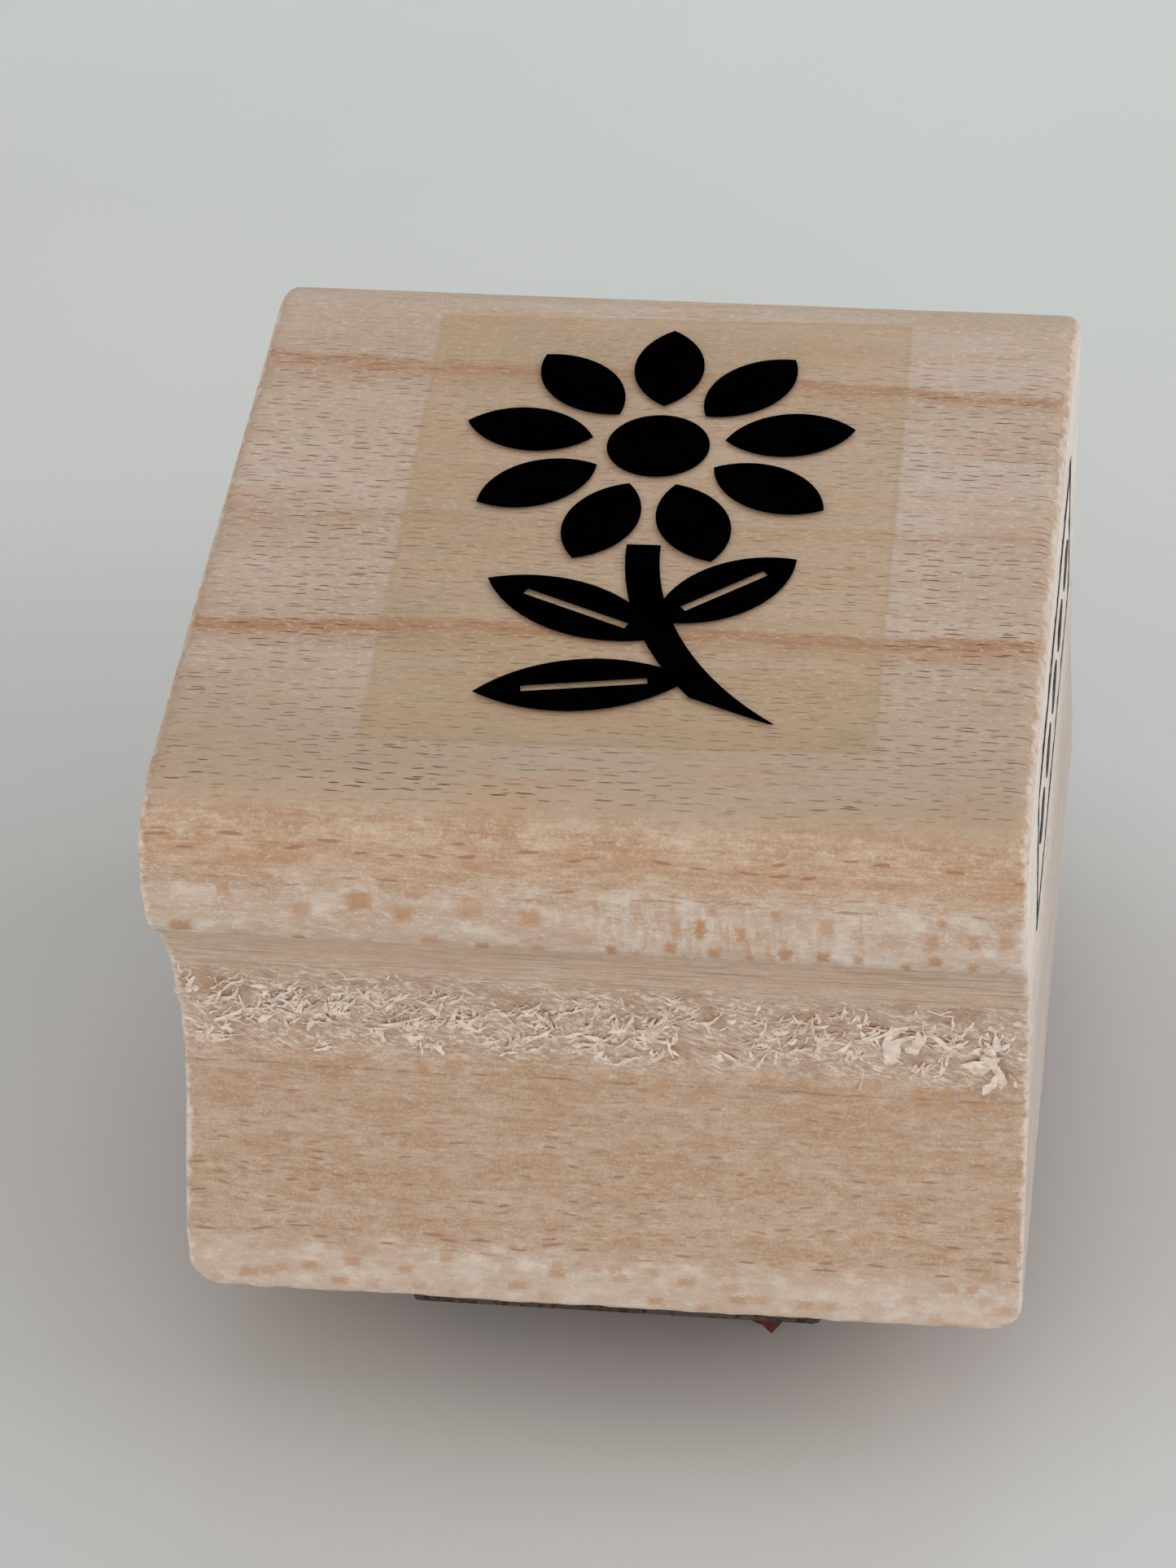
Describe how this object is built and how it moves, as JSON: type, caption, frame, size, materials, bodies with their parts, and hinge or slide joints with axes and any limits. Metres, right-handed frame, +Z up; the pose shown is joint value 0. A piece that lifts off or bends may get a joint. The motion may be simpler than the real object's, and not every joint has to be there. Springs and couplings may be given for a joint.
{
  "type": "wood-mounted rubber stamp",
  "caption": "Square moulded maple stamp with finger grooves front and back, a clear index label with a flower print on top, and a trimmed rubber die on a foam cushion below.",
  "frame": {"origin": "on the surface that the printing face stands on, under the middle of the block", "axes": "+Z up from the printing face to the label, +X right along the grain, -Y the front, where the design's foot is"},
  "size_m": [0.032, 0.035, 0.03],
  "materials": {
    "maple": "sanded, unfinished, flat-grained maple",
    "label_glue": "clear pressure-sensitive adhesive",
    "label_film": "clear satin label film",
    "label_ink": "solid black print, slight sheen",
    "end_ink": "black ink stamped into bare end grain",
    "mount_tape": "double-sided adhesive layer",
    "foam": "closed-cell foam, cut edge",
    "red_rubber": "vulcanised rubber, matt"
  },
  "bodies": {
    "handle": {"handle_block": "maple", "index_adhesive": "label_glue", "index_film": "label_film", "index_print": "label_ink", "end_print": "end_ink", "mount_adhesive": "mount_tape", "cushion": "foam"},
    "die": {"die_adhesive": "mount_tape", "rubber_die": "red_rubber"}
  },
  "joints": [
    {"name": "die_press", "type": "slide", "parent": "handle", "child": "die", "axis": [0, 0, 1], "range_m": [0, 0.0012], "stiffness_N_per_m": 1500, "springref_m": -0.0007, "deforming": ["cushion"]}
  ]
}
